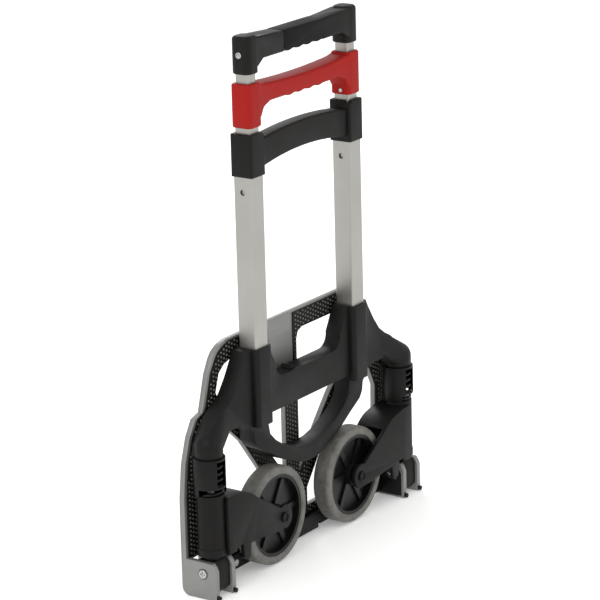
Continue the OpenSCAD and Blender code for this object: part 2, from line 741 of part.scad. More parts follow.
// Ear outline in Y and Z, with its top rounded about the pivot
ear_profile = concat(
    [[plate_y0, pivot_z + ear_top_r]],
    arc([plate_y0 + 11, 11], 11, 180, 270, 6),
    [[pivot_y + ear_back, 0]],
    arc([pivot_y, pivot_z], 21, 13, 47, 5),
    [[pivot_y, pivot_z + ear_top_r]]);

module toe_plate() {
    color(grey) difference() {
        union() {
            across_y(plate_y0, plate_y1) plate_outline();
            both_sides() {
                across_x(ear_in, ear_out) polygon(ear_profile);
                across_x(ear2_in, ear2_out) polygon(ear_profile);
            }
        }
        both_sides() {
            bar_x(ear2_in - 1, ear_out + 1, pivot_y, pivot_z, pivot_d);
            bar_x(ear_out - 2, ear_out + 1, pivot_y, pivot_z, 14);
        }
    }
}

// Stiffening rail behind the plate's lower edge, and a separate thin lining against each inner ear
rail_y1 = plate_y0 + 18;
lining_t = 1.5;
rail_half = ear2_in - lining_t - 0.5;
module toe_rail() {
    color(black) difference() {
        union() {
            across_y(plate_y1, rail_y1) polygon([
                [-rail_half, 6], [-46, 6], [-45, 9], [-42, 9], [-42, 2], [42, 2], [42, 9], [45, 9], [46, 6],
                [rail_half, 6], [rail_half, 24], [-rail_half, 24]]);
            both_sides() across_x(ear2_in - lining_t, ear2_in) polygon([
                [plate_y1, 3], [pivot_y + ear_back - 4, 3], [pivot_y + ear_back - 4, pivot_z],
                [pivot_y + 11, pivot_z + ear_top_r - 4], [pad_y1, pivot_z + ear_top_r - 4],
                [pad_y1, 24], [plate_y1, 24]]);
        }
        both_sides() bar_x(ear2_in - 5, ear2_in + 1, pivot_y, pivot_z, 15);
        for (x = rivet_x) bar_y(x, plate_y1 - 1, rail_y1 + 1, rivet_z, rivet_d);
    }
}

// Rivets that hold the rail on the plate
rivet_x = [-150, -60, 60, 150];
rivet_z = 15;
rivet_d = 5;
module rail_rivets() {
    color(zinc) for (x = rivet_x) {
        bar_y(x, plate_y1, rail_y1, rivet_z, rivet_d);
        bar_y(x, rail_y1, rail_y1 + 1.2, rivet_z, 9);
    }
}

// Textured pad that covers the plate's load face inside its rim, down to the rail, and
// leaves it bare beside the rib, where the catch takes hold
rim_w = 5;
pad_low = pivot_z + ear_top_r;
pad_edge = [for (p = plate_edge) [max(0, p[0] - (p[0] > 0 ? rim_w : 0)),
    max(pad_low, p[1] - (p[1] > plate_h - 30 ? rim_w / 2 : 0))]];
pad_patch = [[-rib_half / 2, plate_h + 1], [-rib_half / 2, plate_h - 70], [rib_half + 34, plate_h - 70],
    [rib_half + 38, plate_h + 1]];
pad_foot = [[ear2_in - 1, pad_low], [ear2_in - 6, 25]];
module toe_pad() {
    color("#232424") across_y(plate_y1, pad_y1) difference() {
        polygon(concat(pad_edge, pad_foot, mirrored(concat(pad_edge, pad_foot))));
        polygon(pad_patch);
        plate_windows();
    }
}

// Rubbing feet on the lower rear corner of each ear
module toe_feet() {
    color(black) both_sides() for (x = [(ear_in + ear_out) / 2, (ear2_in + ear2_out) / 2])
        bar_y(x, pivot_y + ear_back, pivot_y + ear_back + 3.5, 3.6, 6.4);
}

module pivot_bolts() {
    color(zinc) both_sides() {
        bar_x(ear2_in - 5.5, ear_out - 2, pivot_y, pivot_z, pivot_d);
        bar_x(ear_out - 2, ear_out + 1.5, pivot_y, pivot_z, 12);
    }
}

module pivot_nuts() {
    color(zinc) both_sides() translate([ear2_in - 5, pivot_y, pivot_z]) rotate([0, 90, 0]) difference() {
        cylinder(d = 11.5, h = 5, $fn = 6);
        translate([0, 0, -1]) cylinder(d = pivot_d, h = 7, $fn = 48);
    }
}

// ---------- the nodes ----------

main_frame();
plate_catch();
on_side(1) outer_tube();  // outer_tube_left
on_side(-1) outer_tube();  // outer_tube_right
lower_crosspiece();
on_side(1) tube_guide();  // tube_guide_left
on_side(-1) tube_guide();  // tube_guide_right
on_side(1) middle_tube();  // middle_tube_left
on_side(-1) middle_tube();  // middle_tube_right
middle_crosspiece();
middle_glides();
middle_pins();
on_side(1) inner_tube();  // inner_tube_left
on_side(-1) inner_tube();  // inner_tube_right
top_handle();
handle_grip();
handle_screws();
inner_glides();
on_side(1) snap_button_lower();  // snap_button_lower_left
on_side(-1) snap_button_lower();  // snap_button_lower_right
on_side(1) snap_button_upper();  // snap_button_upper_left
on_side(-1) snap_button_upper();  // snap_button_upper_right
on_side(1) hinge_post();  // hinge_post_left
on_side(-1) hinge_post();  // hinge_post_right
on_side(1) knuckle();  // knuckle_left
on_side(-1) knuckle();  // knuckle_right
thrust_washers();
on_side(1) fork();  // fork_left
on_side(-1) fork();  // fork_right
on_side(1) fork_spring();  // fork_spring_left
on_side(-1) fork_spring();  // fork_spring_right
on_side(1) axle();  // axle_left
on_side(-1) axle();  // axle_right
on_side(1) axle_caps();  // axle_caps_left
on_side(-1) axle_caps();  // axle_caps_right
on_side(1) hub();  // hub_left
on_side(-1) hub();  // hub_right
on_side(1) tyre();  // tyre_left
on_side(-1) tyre();  // tyre_right
on_side(1) wheel_bush();  // wheel_bush_left
on_side(-1) wheel_bush();  // wheel_bush_right
toe_plate();
toe_pad();
toe_rail();
rail_rivets();
toe_feet();
pivot_bolts();
pivot_nuts();
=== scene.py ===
# %% [markdown]
# # A folding hand truck
#
# The truck stands folded: two telescopic columns with three crosspieces, a moulded frame,
# a toe plate folded up flat behind it, and two forked wheels tucked in between.
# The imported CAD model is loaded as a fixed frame. Every piece made here is placed from
# the boxes of its nodes, with +Z up and the wheels on the +Y side. Blender counts in
# metres, and a truck is drawn in millimetres, so MM turns one into the other.

# %% Load the frame
import json
import math

import bpy
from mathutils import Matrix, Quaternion, Vector


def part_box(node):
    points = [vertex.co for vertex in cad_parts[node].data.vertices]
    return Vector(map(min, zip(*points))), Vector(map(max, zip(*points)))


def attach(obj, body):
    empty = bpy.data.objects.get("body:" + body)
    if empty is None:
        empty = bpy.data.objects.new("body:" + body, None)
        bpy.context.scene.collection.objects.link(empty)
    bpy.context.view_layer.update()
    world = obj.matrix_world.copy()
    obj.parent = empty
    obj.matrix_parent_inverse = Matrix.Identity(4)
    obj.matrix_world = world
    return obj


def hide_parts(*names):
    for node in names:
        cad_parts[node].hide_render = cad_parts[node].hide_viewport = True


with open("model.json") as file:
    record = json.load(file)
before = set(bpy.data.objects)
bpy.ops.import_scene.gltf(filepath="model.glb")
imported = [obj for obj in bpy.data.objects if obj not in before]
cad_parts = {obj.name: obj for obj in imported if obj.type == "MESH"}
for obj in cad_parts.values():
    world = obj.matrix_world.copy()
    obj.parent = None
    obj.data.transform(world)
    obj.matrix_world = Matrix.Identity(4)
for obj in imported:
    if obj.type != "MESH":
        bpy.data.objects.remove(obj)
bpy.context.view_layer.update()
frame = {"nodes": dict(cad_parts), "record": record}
NODES = frame["nodes"]
BODIES = frame["record"]["behaviour"]["bodies"]
BODY_OF = {node: body for body, nodes in BODIES.items() for node in nodes}
SLOT_OF = {part["node"]: part["material_slot"] for part in frame["record"]["subparts"]}
MM = 0.001

# %% [markdown]
# ## Materials
#
# Colours are picked as sRGB hex values, the way paint charts and colour pickers give them,
# but shaders work in linear light, so one function converts them.
# A second small function adds a shader node, sets its inputs and links them, so that each
# material below reads as a short recipe: a pattern, what it does to colour, gloss and
# relief, and the Principled shader that takes all three.

# %% Two helpers for materials
def linear(hex_colour):
    """sRGB hex to the linear RGBA that a shader socket takes."""
    channels = [int(hex_colour[i:i + 2], 16) / 255 for i in (1, 3, 5)]
    return [c / 12.92 if c <= 0.04045 else ((c + 0.055) / 1.055) ** 2.4 for c in channels] + [1]


def add(tree, kind, settings=None, **inputs):
    """Adds a node. settings are its properties; inputs are values, or sockets to link."""
    node = tree.nodes.new(kind)
    for name, value in (settings or {}).items():
        setattr(node, name, value)
    for name, value in inputs.items():
        socket = node.inputs[name.replace("_", " ")]
        if isinstance(value, bpy.types.NodeSocket):
            tree.links.new(value, socket)
        else:
            socket.default_value = value
    return node


def new_material(name):
    """A named material with an empty node tree."""
    material = bpy.data.materials.new(name)
    material.use_nodes = True
    material.node_tree.nodes.clear()
    return material, material.node_tree


print("white is", linear("#ffffff"))

# %% [markdown]
# Most pieces are injection-moulded plastic. The tool that moulds them is spark-eroded, which
# leaves a fine leathery grain about half a millimetre across. The grain breaks up the
# highlight, so the plastic looks satin, not wet. Slow changes in roughness stand for
# handling and for the way the melt filled the mould. One recipe serves the black frame,
# the red crosspiece and the soft grip, with its own colour, grain and gloss.

# %% Moulded plastic
GRAIN_MM = 0.9  # real grain is nearer 0.5 mm: drawn coarser so that it shows
FLOW_MM = 45
NOISE_LOW, NOISE_HIGH = 0.3, 0.7  # nearly all of a noise texture's values lie between these


def moulded_plastic(name, light, dark, roughness, grain_depth_mm, specular=0.5):
    material, tree = new_material(name)
    place = add(tree, "ShaderNodeTexCoord").outputs["Object"]
    grain = add(tree, "ShaderNodeTexNoise", Vector=place, Scale=1000 / GRAIN_MM / 2, Detail=3.0)
    flow = add(tree, "ShaderNodeTexNoise", Vector=place, Scale=1000 / FLOW_MM, Detail=4.0,
               Roughness=0.6)
    colour = add(tree, "ShaderNodeMixRGB", Fac=flow.outputs["Fac"],
                 Color1=linear(dark), Color2=linear(light))
    gloss = add(tree, "ShaderNodeMapRange", Value=flow.outputs["Fac"], From_Min=NOISE_LOW,
                From_Max=NOISE_HIGH, To_Min=roughness - 0.05, To_Max=roughness + 0.07)
    bump = add(tree, "ShaderNodeBump", Height=grain.outputs["Fac"],
               Distance=grain_depth_mm * MM, Strength=0.8)
    shader = add(tree, "ShaderNodeBsdfPrincipled", Base_Color=colour.outputs["Color"],
                 Roughness=gloss.outputs["Result"], Normal=bump.outputs["Normal"],
                 IOR=1.5, Specular_IOR_Level=specular)
    add(tree, "ShaderNodeOutputMaterial", Surface=shader.outputs["BSDF"])
    return material


black_nylon = moulded_plastic("black_glass_filled_nylon", "#151312", "#0d0c0b", 0.5, 0.06, 0.18)
red_nylon = moulded_plastic("red_glass_filled_nylon", "#a31c16", "#911611", 0.52, 0.05, 0.13)
soft_grip_rubber = moulded_plastic("black_thermoplastic_elastomer", "#100f0f", "#0b0a0a",
                                   0.66, 0.08, 0.16)
pad_rubber = moulded_plastic("black_studded_pad_rubber", "#181916", "#0f100d", 0.6, 0.1, 0.22)
# the light grey of the studs is painted highlight, standing for the glints on their tops
stud_painted_highlight = moulded_plastic("painted_highlight_grey_studs", "#84857f", "#41423d", 0.5, 0.1, 0.4)
hub_polypropylene = moulded_plastic("black_polypropylene", "#121110", "#0c0b0b", 0.42, 0.04, 0.3)
acetal = moulded_plastic("black_acetal", "#1b1b1b", "#141414", 0.35, 0.02)
bush_nylon = moulded_plastic("natural_nylon", "#d9d4c4", "#cfc9b6", 0.45, 0.02)
print("plastics:", [material.name for material in bpy.data.materials])

# %% [markdown]
# The columns are extruded aluminium tubes, etched and clear anodised. The die leaves faint
# lines along the length, and etching turns them into a silky sheen that runs down the tube.
# Noise that is stretched along Z gives both: a small bump and a small change in roughness.

# %% Anodised aluminium
LINE_MM, LINE_LENGTH_MM = 1.2, 240  # real die lines are finer: drawn coarser so that they show
CLOUD_MM = 60


def anodised_aluminium():
    material, tree = new_material("clear_anodised_aluminium")
    place = add(tree, "ShaderNodeTexCoord").outputs["Object"]
    along = add(tree, "ShaderNodeMapping", Vector=place,
                Scale=(1000 / LINE_MM, 1000 / LINE_MM, 1000 / LINE_LENGTH_MM))
    lines = add(tree, "ShaderNodeTexNoise", Vector=along.outputs["Vector"], Scale=1.0, Detail=3.0)
    cloud = add(tree, "ShaderNodeTexNoise", Vector=place, Scale=1000 / CLOUD_MM, Detail=3.0)
    colour = add(tree, "ShaderNodeMixRGB", Fac=cloud.outputs["Fac"],
                 Color1=linear("#a19f9a"), Color2=linear("#afada8"))
    gloss = add(tree, "ShaderNodeMapRange", Value=lines.outputs["Fac"], To_Min=0.34, To_Max=0.5)
    bump = add(tree, "ShaderNodeBump", Height=lines.outputs["Fac"], Distance=0.02 * MM,
               Strength=0.6)
    shader = add(tree, "ShaderNodeBsdfPrincipled", Base_Color=colour.outputs["Color"],
                 Roughness=gloss.outputs["Result"], Normal=bump.outputs["Normal"], Metallic=1.0)
    add(tree, "ShaderNodeOutputMaterial", Surface=shader.outputs["BSDF"])
    return material


tube_aluminium = anodised_aluminium()
print(tube_aluminium.name)

# %% [markdown]
# The toe plate's rim and ears are cast metal, tumbled and painted a metallic grey: neither
# a mirror nor a flat grey. Two sizes of noise, a pebbly skin of about 1.5 mm and slow
# clouding, make it look cast. The bolts are zinc-plated steel: brighter, smoother,
# with only a slight cloudiness. The springs are oiled steel, and a darker, glossier colour
# in the same recipe gives them.

# %% Cast and plated metals
METAL_CLOUD_MM = 30


def cast_metal(name, light, dark, metallic, smooth, rough, skin_mm, skin_depth_mm):
    material, tree = new_material(name)
    place = add(tree, "ShaderNodeTexCoord").outputs["Object"]
    skin = add(tree, "ShaderNodeTexNoise", Vector=place, Scale=1000 / skin_mm, Detail=4.0)
    cloud = add(tree, "ShaderNodeTexNoise", Vector=place, Scale=1000 / METAL_CLOUD_MM, Detail=5.0)
    colour = add(tree, "ShaderNodeMixRGB", Fac=cloud.outputs["Fac"],
                 Color1=linear(dark), Color2=linear(light))
    gloss = add(tree, "ShaderNodeMapRange", Value=cloud.outputs["Fac"], From_Min=NOISE_LOW,
                From_Max=NOISE_HIGH, To_Min=smooth, To_Max=rough)
    bump = add(tree, "ShaderNodeBump", Height=skin.outputs["Fac"],
               Distance=skin_depth_mm * MM, Strength=0.7)
    shader = add(tree, "ShaderNodeBsdfPrincipled", Base_Color=colour.outputs["Color"],
                 Roughness=gloss.outputs["Result"], Normal=bump.outputs["Normal"],
                 Metallic=metallic)
    add(tree, "ShaderNodeOutputMaterial", Surface=shader.outputs["BSDF"])
    return material


plate_casting = cast_metal("grey_painted_casting", "#8f908d", "#7b7c79",
                           0.55, 0.42, 0.55, 1.5, 0.08)
zinc_steel = cast_metal("zinc_plated_steel", "#bdbebd", "#a4a6a5", 1.0, 0.22, 0.34, 0.8, 0.01)
spring_steel = cast_metal("oiled_black_spring_steel", "#2b2a29", "#1b1a1a",
                          1.0, 0.2, 0.32, 0.8, 0.01)
print(plate_casting.name, zinc_steel.name, spring_steel.name)

# %% [markdown]
# The tyres are grey non-marking rubber, moulded solid. Rubber scatters light evenly, so it
# is rough and shows little highlight, with a faint dustiness in its colour.

# %% Grey rubber
DUST_MM, PORE_MM = 14, 0.8


def grey_rubber():
    material, tree = new_material("grey_non_marking_rubber")
    place = add(tree, "ShaderNodeTexCoord").outputs["Object"]
    dust = add(tree, "ShaderNodeTexNoise", Vector=place, Scale=1000 / DUST_MM, Detail=6.0,
               Roughness=0.7)
    pores = add(tree, "ShaderNodeTexNoise", Vector=place, Scale=1000 / PORE_MM, Detail=2.0)
    contrast = add(tree, "ShaderNodeMapRange", Value=dust.outputs["Fac"], From_Min=NOISE_LOW,
                   From_Max=NOISE_HIGH)
    colour = add(tree, "ShaderNodeMixRGB", Fac=contrast.outputs["Result"],
                 Color1=linear("#504f4b"), Color2=linear("#73726c"))
    bump = add(tree, "ShaderNodeBump", Height=pores.outputs["Fac"], Distance=0.05 * MM,
               Strength=0.6)
    shader = add(tree, "ShaderNodeBsdfPrincipled", Base_Color=colour.outputs["Color"],
                 Roughness=0.62, Normal=bump.outputs["Normal"])
    add(tree, "ShaderNodeOutputMaterial", Surface=shader.outputs["BSDF"])
    return material


tyre_rubber = grey_rubber()
print(tyre_rubber.name)

# %% [markdown]
# A real truck has a parts list that says what each part is made of. The frame's record has
# one too: each node names its slot, and a table gives each slot its material. Dressing
# the nodes from the table is surer than doing it by hand, because none can be forgotten.

# %% Give each CAD node its material
MATERIAL_OF = {"black_nylon": black_nylon, "red_nylon": red_nylon,
               "soft_grip": soft_grip_rubber, "anodised_tube": tube_aluminium,
               "acetal": acetal, "zinc_steel": zinc_steel, "grey_tyre": tyre_rubber,
               "hub_plastic": hub_polypropylene, "bush_nylon": bush_nylon,
               "plate_metal": plate_casting, "pad_rubber": pad_rubber,
               "spring_steel": spring_steel}
for node, obj in NODES.items():
    obj.data.materials.clear()
    obj.data.materials.append(MATERIAL_OF[SLOT_OF[node]])
print("dressed", len(NODES), "nodes")

# %% [markdown]
# ## Rounded edges
#
# No moulded or cast part has a knife edge: the mould's corners are radiused, and that
# radius is what catches the light. The CAD nodes carry the exact faces with sharp edges.
# Each such node is copied, its loose triangles are merged into whole faces, its outer edges
# get the radius of the real part by the bevel tool, and the copy stands for the node.
# The bevel tool works on selected edges. They are picked in code: the sharp ones first, and
# then those whose middle lies where the part has its large radius.

# %% Copy a node
JOIN_MM = 0.02
FLAT_DEG = 1.0


def deselect_all():
    if bpy.context.mode != "OBJECT":
        bpy.ops.object.mode_set(mode="OBJECT")
    bpy.ops.object.select_all(action="DESELECT")


def activate(obj):
    deselect_all()
    obj.select_set(True)
    bpy.context.view_layer.objects.active = obj


def copied(node, name):
    """A copy of a CAD node with whole flat faces, free of its body."""
    obj = NODES[node].copy()
    obj.data = NODES[node].data.copy()
    obj.name = name
    obj.parent = None
    for key in list(obj.keys()):
        del obj[key]
    bpy.context.scene.collection.objects.link(obj)
    activate(obj)
    bpy.ops.object.mode_set(mode="EDIT")
    bpy.ops.mesh.select_all(action="SELECT")
    bpy.ops.mesh.remove_doubles(threshold=JOIN_MM * MM)
    bpy.ops.mesh.dissolve_limited(angle_limit=math.radians(FLAT_DEG))
    bpy.ops.object.mode_set(mode="OBJECT")
    return obj


def stand_for(obj, *nodes):
    """obj rides on the nodes' body and is shown in their place."""
    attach(obj, BODY_OF[nodes[0]])
    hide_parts(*nodes)


print("copying joins corners closer than", JOIN_MM, "mm")

# %% [markdown]
# The bevel tool is used twice. First it rounds the chosen edges, each with its own radius.
# Then the Bevel modifier puts a fine radius on every edge that is still sharp. Shading is
# smooth within 40 degrees, so that the flat faces stay flat to the eye.

# %% Round chosen edges
SHARP_DEG = 33
FINE_DEG = 34
SMOOTH_DEG = 40


def modified(obj, kind, **settings):
    """Gives the active object one modifier with these settings, and applies it."""
    modifier = obj.modifiers.new(kind.lower(), kind)
    for name, value in settings.items():
        setattr(modifier, name, value)
    bpy.ops.object.modifier_apply(modifier=modifier.name)


def round_edges(obj, width_mm, where, segments=4):
    """Bevels the sharp edges whose middle, in mm, passes where(x, y, z)."""
    activate(obj)
    bpy.ops.object.mode_set(mode="EDIT")
    bpy.ops.mesh.select_mode(type="EDGE")
    bpy.ops.mesh.select_all(action="DESELECT")
    bpy.ops.mesh.edges_select_sharp(sharpness=math.radians(SHARP_DEG))
    bpy.ops.object.mode_set(mode="OBJECT")
    mesh = obj.data
    count = 0
    for vertex in mesh.vertices:
        vertex.select = False
    for polygon in mesh.polygons:
        polygon.select = False
    for edge in mesh.edges:
        if edge.select:
            start, end = (mesh.vertices[i].co for i in edge.vertices)
            middle = (start + end) / 2 / MM
            edge.select = bool(where(middle.x, middle.y, middle.z))
            count += edge.select
    bpy.ops.object.mode_set(mode="EDIT")
    if count:
        bpy.ops.mesh.bevel(offset=width_mm * MM, segments=segments, affect="EDGES",
                           clamp_overlap=False)
    bpy.ops.object.mode_set(mode="OBJECT")
    return count


def finish_edges(obj, width_mm):
    """A last fine radius on every edge that is still sharp, and smooth shading."""
    activate(obj)
    modified(obj, "BEVEL", width=width_mm * MM, segments=2, limit_method="ANGLE",
             angle_limit=math.radians(FINE_DEG))
    bpy.ops.object.shade_smooth_by_angle(angle=math.radians(SMOOTH_DEG))


def moulded(node, radii, fine_mm=0.5):
    """Stands for a node. radii is a list of (radius in mm, where)."""
    obj = copied(node, node + "_moulded")
    counts = [round_edges(obj, width, where) for width, where in radii]
    finish_edges(obj, fine_mm)
    stand_for(obj, node)
    print(obj.name, "edges rounded", counts, "faces", len(obj.data.polygons))


def box_mm(node):
    """Lowest and highest corner of a CAD node, in mm."""
    return [[value / MM for value in corner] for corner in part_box(node)]


print("top handle, mm:", box_mm("top_handle"))

# %% [markdown]
# The three crosspieces are closed mouldings with generous radii. The top handle's ends are
# rounded blocks, so their top rim gets 5 mm. The bars are rounded for the hand along their
# whole length. The collars of the black crosspiece are thin, so they take only 1.6 mm.
# The edges are told apart by where they lie: at the top, at the foot, or along the bar.

# %% Measure the columns
NEAR_MM = 0.5  # an edge this close to a plane counts as lying in it
tube_low, tube_high = box_mm("inner_tube_left")
tube_x = (tube_low[0] + tube_high[0]) / 2


def section(node, spare_mm=0.0):
    """Width and depth of a tube, in mm, with some room to spare."""
    lowest, highest = box_mm(node)
    return highest[0] - lowest[0] + spare_mm, highest[1] - lowest[1] + spare_mm


def outside_tube(x, y, size):
    """True away from the bore of a column, so that bores keep their exact size."""
    return abs(abs(x) - tube_x) > size[0] / 2 + 1 or abs(y) > size[1] / 2 + 1


def ends(node):
    """Foot, top and inner side of the end blocks of a crosspiece, moved inwards by NEAR_MM."""
    lowest, highest = box_mm(node)
    inner_side = tube_x - (highest[0] - tube_x)
    return lowest[2] + NEAR_MM, highest[2] - NEAR_MM, inner_side - NEAR_MM


inner_size = section("inner_tube_left")
middle_size = section("middle_tube_left")
outer_size = section("outer_tube_left")
print("tube sections, mm:", [round(v, 1) for v in inner_size + middle_size + outer_size])

# %% Round the handle
handle_foot, handle_top, handle_in = ends("top_handle")
grip_x = box_mm("handle_grip")[1][0]
GRIP_SIDE_MM = 11  # from the middle: the grip's edges towards and away from the operator
moulded("top_handle", [
    (5.0, lambda x, y, z: z > handle_top),
    (2.0, lambda x, y, z: z < handle_foot and outside_tube(x, y, inner_size)),
    (4.0, lambda x, y, z: grip_x + NEAR_MM < abs(x) < handle_in)])
moulded("handle_grip", [
    (4.0, lambda x, y, z: abs(x) < grip_x - NEAR_MM and abs(y) > GRIP_SIDE_MM)], 0.4)

# %% Round the red and the black crosspiece
RED_SIDE_MM = 8
red_foot, red_top, red_in = ends("middle_crosspiece")
red_mouth = section("middle_tube_left", -3)
moulded("middle_crosspiece", [
    (2.8, lambda x, y, z: z > red_top and outside_tube(x, y, red_mouth)),
    (2.4, lambda x, y, z: z < red_foot and outside_tube(x, y, middle_size)),
    (4.5, lambda x, y, z: abs(x) < red_in and abs(y) > RED_SIDE_MM)])

black_foot, black_top, black_in = ends("lower_crosspiece")
black_mouth = section("outer_tube_left", 0.5)
moulded("lower_crosspiece", [
    (1.6, lambda x, y, z: z > black_top and outside_tube(x, y, outer_size)),
    (1.4, lambda x, y, z: z < black_foot and outside_tube(x, y, black_mouth)),
    (3.2, lambda x, y, z: abs(x) < black_in)])

# %% [markdown]
# The frame, the knuckles, the forks and the toe rail are deep mouldings with radii of 1 to
# 2 mm. The toe plate is a casting whose rim and ears are a little rounded too. One fine
# radius all over does for each of them, so no edge has to be picked.

# %% Frame, knuckles, forks and toe plate
moulded("main_frame", [], 2.0)
for side in ("left", "right"):
    moulded("knuckle_" + side, [], 1.5)
    moulded("fork_" + side, [], 1.0)
moulded("toe_rail", [], 1.2)
moulded("toe_plate", [], 1.5)

# %% [markdown]
# ## The torsion springs
#
# Each fork is pulled by a coil spring about its post, seen through the slot in its sleeve.
# A coil could be drawn as a curve with a round section. Here the wire's section, a disc, is
# swept by the Screw modifier, which is how such a coil is wound: round and up at once.

# %% Wind the springs
WIRE_MM = 4.2
WIRE_SIDES = 12
TURNS = 5
STEPS_PER_TURN = 32


def wound_spring(side):
    lowest, highest = box_mm("fork_spring_" + side)
    post = [(lowest[i] + highest[i]) / 2 for i in (0, 1)]
    coil_mm = (highest[0] - lowest[0]) / 2 - WIRE_MM / 2
    rise_mm = highest[2] - lowest[2] - WIRE_MM
    deselect_all()
    bpy.ops.mesh.primitive_circle_add(
        vertices=WIRE_SIDES, radius=WIRE_MM / 2 * MM, fill_type="NGON",
        rotation=(math.radians(90), 0, 0),
        location=((post[0] + coil_mm) * MM, post[1] * MM, (lowest[2] + WIRE_MM / 2) * MM))
    spring = bpy.context.active_object
    spring.name = "wound_spring_" + side
    bpy.context.scene.cursor.location = (post[0] * MM, post[1] * MM, 0)
    bpy.ops.object.origin_set(type="ORIGIN_CURSOR")
    bpy.ops.object.transform_apply(location=False, rotation=True, scale=True)
    modified(spring, "SCREW", angle=math.radians(360 * TURNS), screw_offset=rise_mm * MM,
             steps=TURNS * STEPS_PER_TURN, render_steps=TURNS * STEPS_PER_TURN)
    bpy.ops.object.transform_apply(location=True, rotation=True, scale=True)
    bpy.ops.object.mode_set(mode="EDIT")
    bpy.ops.mesh.select_all(action="SELECT")
    bpy.ops.mesh.remove_doubles(threshold=JOIN_MM / 2 * MM)
    bpy.ops.mesh.select_all(action="DESELECT")
    bpy.ops.mesh.select_non_manifold()
    bpy.ops.mesh.edge_face_add()
    bpy.ops.mesh.select_all(action="SELECT")
    bpy.ops.mesh.normals_make_consistent(inside=False)
    bpy.ops.object.mode_set(mode="OBJECT")
    bpy.ops.object.shade_smooth()
    spring.data.materials.append(spring_steel)
    stand_for(spring, "fork_spring_" + side)
    return spring


for side in ("left", "right"):
    spring = wound_spring(side)
    print(spring.name, len(spring.data.polygons), "faces")
bpy.context.scene.cursor.location = (0, 0, 0)

# %% [markdown]
# ## The studs of the toe plate's pad
#
# The pad that the load stands on is a rubber mat with rows of small raised studs, so that a
# box doesn't slide off. The studs are a light grey: painted highlight, standing for the glints
# on their tops. One stud is modelled: a low cylinder whose top is pulled in. Two Array
# modifiers lay out the rows.

# %% Model one stud
STUD_PITCH_MM = 6.0
STUD_MM = 2.6
STUD_HEIGHT_MM = 0.9
STUD_SUNK_MM = 0.1
STUD_INSET_MM, STUD_CROWN_MM = 0.4, 0.3


def nothing_selected(kind):
    """Leaves the active mesh in object mode with no vertex, edge or face selected."""
    bpy.ops.object.mode_set(mode="EDIT")
    bpy.ops.mesh.select_mode(type=kind)
    bpy.ops.mesh.select_all(action="DESELECT")
    bpy.ops.object.mode_set(mode="OBJECT")


pad_low, pad_high = box_mm("toe_pad")
columns = int((pad_high[0] - pad_low[0]) / STUD_PITCH_MM)
rows = int((pad_high[2] - pad_low[2]) / STUD_PITCH_MM)
stud_y = pad_high[1] - STUD_SUNK_MM
first = (-(columns - 1) / 2 * STUD_PITCH_MM, pad_low[2] + STUD_PITCH_MM)
deselect_all()
bpy.ops.mesh.primitive_cylinder_add(
    vertices=8, radius=STUD_MM / 2 * MM, depth=STUD_HEIGHT_MM * MM,
    rotation=(math.radians(-90), 0, 0),
    location=(first[0] * MM, (stud_y + STUD_HEIGHT_MM / 2) * MM, first[1] * MM))
studs = bpy.context.active_object
studs.name = "pad_studs"
bpy.ops.object.transform_apply(location=True, rotation=True, scale=True)
nothing_selected("FACE")
for polygon in studs.data.polygons:
    polygon.select = polygon.normal.y > 0.9
bpy.ops.object.mode_set(mode="EDIT")
bpy.ops.mesh.inset(thickness=STUD_INSET_MM * MM)
bpy.ops.transform.translate(value=(0, STUD_CROWN_MM * MM, 0))
bpy.ops.object.mode_set(mode="OBJECT")
print("one stud:", len(studs.data.polygons), "faces")

# %% Lay out the rows
for count, step in ((rows, (0, 0, STUD_PITCH_MM * MM)), (columns, (STUD_PITCH_MM * MM, 0, 0))):
    modified(studs, "ARRAY", use_relative_offset=False, use_constant_offset=True,
             constant_offset_displace=step, count=count)
print("studs laid out:", rows * columns)

# %% [markdown]
# The rows fill the mat's whole box, windows and all. Cutting them along the outline with a
# Boolean would leave half studs, and a real mould has none. So each stud is tested as a
# whole: rays are sent at the mat under its middle and under four points at its edge, and
# it stays where all five meet the mat. Every second column is lowered by half a pitch.

# %% Keep the studs on the mat
MAT_MARGIN_MM = 0.5
MAT_LEVEL_MM = 0.2
RAY_START_MM = 50
pad = NODES["toe_pad"]


def on_mat(x, z):
    reach = STUD_MM / 2 + MAT_MARGIN_MM
    for dx, dz in ((0, 0), (reach, 0), (-reach, 0), (0, reach), (0, -reach)):
        start = Vector(((x + dx) * MM, RAY_START_MM * MM, (z + dz) * MM))
        hit, place, _, _ = pad.ray_cast(start, Vector((0, -1, 0)))
        if not hit or abs(place.y / MM - pad_high[1]) > MAT_LEVEL_MM:
            return False
    return True


kept = {}
stray = {}
mesh = studs.data
for vertex in mesh.vertices:
    column = round((vertex.co.x / MM - first[0]) / STUD_PITCH_MM)
    row = round((vertex.co.z / MM - first[1]) / STUD_PITCH_MM)
    lowered = STUD_PITCH_MM / 2 * (column % 2)
    if (column, row) not in kept:
        x = first[0] + column * STUD_PITCH_MM
        z = first[1] + row * STUD_PITCH_MM - lowered
        kept[column, row] = on_mat(x, z)
    stray[vertex.index] = not kept[column, row]
    vertex.co.z -= lowered * MM
nothing_selected("VERT")
for vertex in mesh.vertices:
    vertex.select = stray[vertex.index]
bpy.ops.object.mode_set(mode="EDIT")
bpy.ops.mesh.delete(type="VERT")
bpy.ops.object.mode_set(mode="OBJECT")
# the studs take the light grey of painted highlight
studs.data.materials.append(stud_painted_highlight)
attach(studs, "toe_plate")
print("studs kept:", sum(kept.values()), "faces:", len(studs.data.polygons))

# %% [markdown]
# ## Crossed recesses
#
# The bolts in the ears and the screws of the handle are driven by a crossed bit. The recess
# could be drawn in the material, but it has depth and catches a shadow, so it is cut: two
# thin blocks and the Boolean modifier do it, after the head's edge was rounded.

# %% Cut the recesses
HEAD_EDGE_MM = 1.0
RECESS_SMOOTH_DEG = 35


